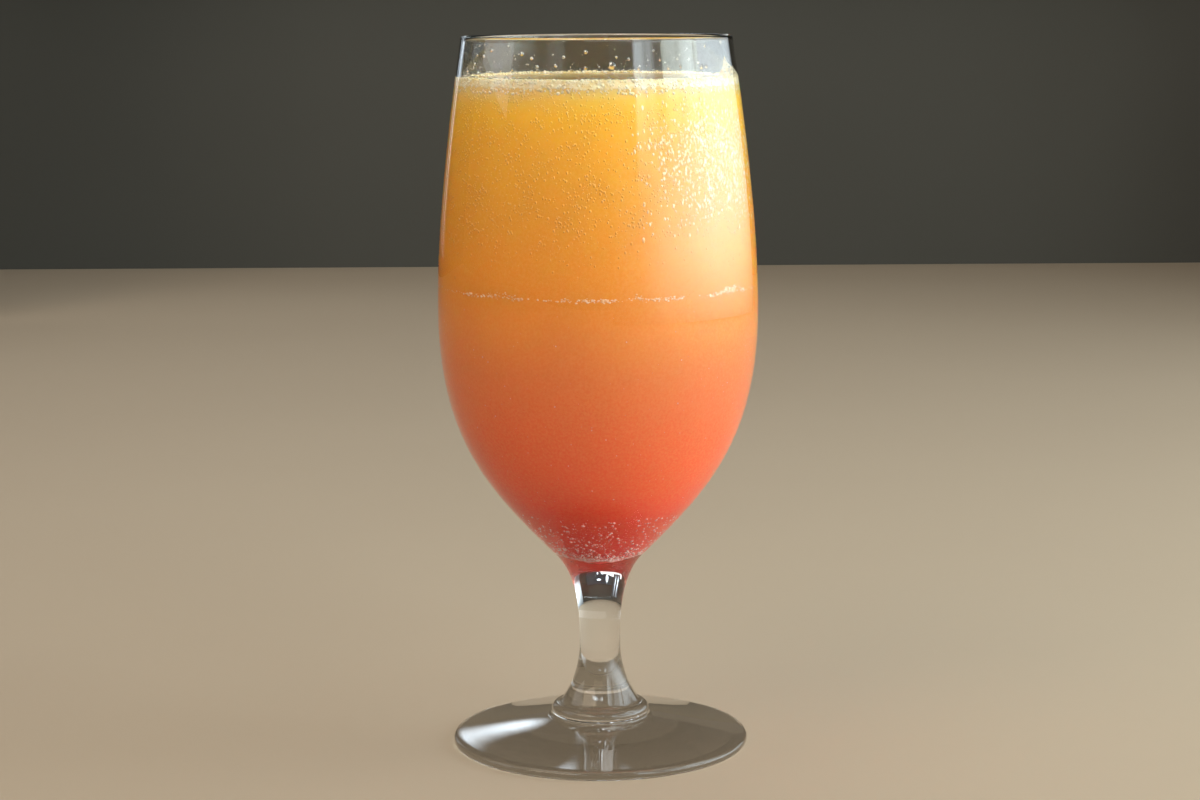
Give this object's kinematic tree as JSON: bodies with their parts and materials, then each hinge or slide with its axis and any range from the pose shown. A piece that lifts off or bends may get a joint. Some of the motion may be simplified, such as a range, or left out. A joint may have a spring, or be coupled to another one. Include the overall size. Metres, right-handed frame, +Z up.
{
  "type": "sparkling drink in stem glass",
  "caption": "Cloudy orange and strawberry sparkling drink in a clear footed stem glass, fading from orange at the top to red at the bottom.",
  "frame": {"origin": "centre of the foot's underside, on the axis of the glass", "axes": "+Z up along the axis of the glass"},
  "size_m": [0.085, 0.085, 0.19],
  "materials": {
    "clear_glass": "clear, polished",
    "strawberry_drink": "cloudy red drink",
    "orange_drink": "cloudy orange drink",
    "froth_bubbles": "pale froth of small bubbles"
  },
  "bodies": {
    "root": {"glass": "clear_glass", "strawberry_layer": "strawberry_drink", "orange_layer": "orange_drink", "froth": "froth_bubbles"}
  },
  "joints": []
}
